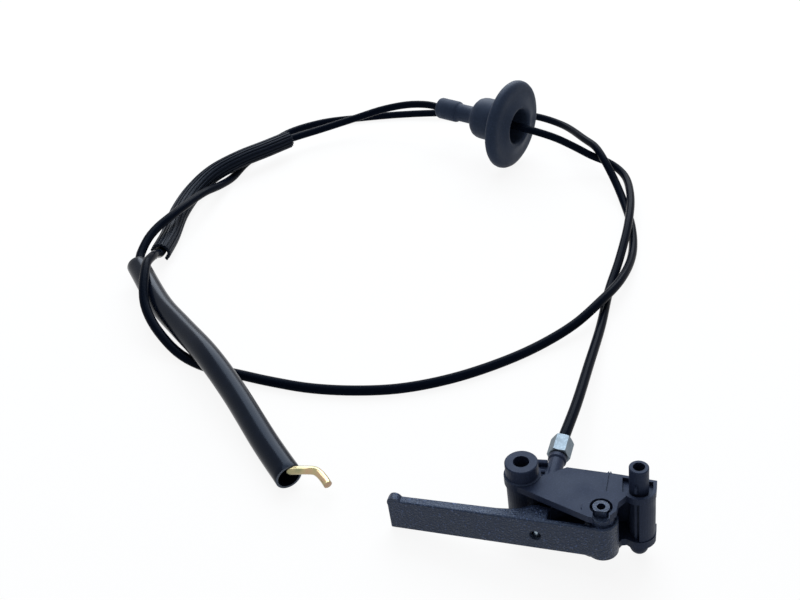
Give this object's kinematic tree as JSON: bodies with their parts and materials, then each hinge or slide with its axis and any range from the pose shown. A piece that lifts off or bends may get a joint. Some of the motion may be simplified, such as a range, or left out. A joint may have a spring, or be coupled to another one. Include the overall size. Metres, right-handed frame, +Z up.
{
  "type": "hood release cable",
  "caption": "Hood release cable: a grained pull lever in a moulded bracket, and a coiled black sheathed cable with a rubber grommet, a ribbed sleeve and a hose with a bent pull rod.",
  "frame": {"origin": "on the ground, below the middle of the bracket, its lever and the ferrule", "axes": "+Z up; +X to the right as seen from the lever's front, from the lever's tip towards its hinge; +Y away, from the lever towards the cable"},
  "size_m": [0.2998, 0.4339, 0.0587],
  "materials": {
    "bracket_plastic": "satin",
    "lever_plastic": "grained",
    "zinc_steel": "zinc plated",
    "wire_steel": "bright",
    "yellow_zinc": "yellow zinc plated",
    "sheath_plastic": "gloss",
    "hose_plastic": "gloss",
    "grommet_rubber": "matte",
    "sleeve_rubber": "satin"
  },
  "bodies": {
    "housing": {"bracket": "bracket_plastic", "hex_ferrule": "zinc_steel", "sheath": "sheath_plastic", "grommet": "grommet_rubber", "ribbed_sleeve": "sleeve_rubber", "hose": "hose_plastic", "sheath_end_cap": "zinc_steel", "pull_strand": "wire_steel", "crimp_barrel": "zinc_steel", "pull_rod": "yellow_zinc"},
    "lever": {"lever": "lever_plastic"},
    "wire": {"cable_nipple": "zinc_steel", "inner_wire": "wire_steel"}
  },
  "joints": [
    {"name": "lever_hinge", "type": "hinge", "parent": "housing", "child": "lever", "pos_m": [0.03045, -0.02463, 0.00614], "axis": [-0.1311, 0.0279, 0.991], "range_deg": [0, 45]},
    {"name": "wire_swivel", "type": "hinge", "parent": "lever", "child": "wire", "pos_m": [0.00499, -0.01911, 0.01523], "axis": [-0.1311, 0.0279, 0.991], "range_deg": [-31.5, 0]}
  ],
  "couplings": [
    {"joint": "wire_swivel", "follows": "lever_hinge", "ratio": -0.7}
  ]
}
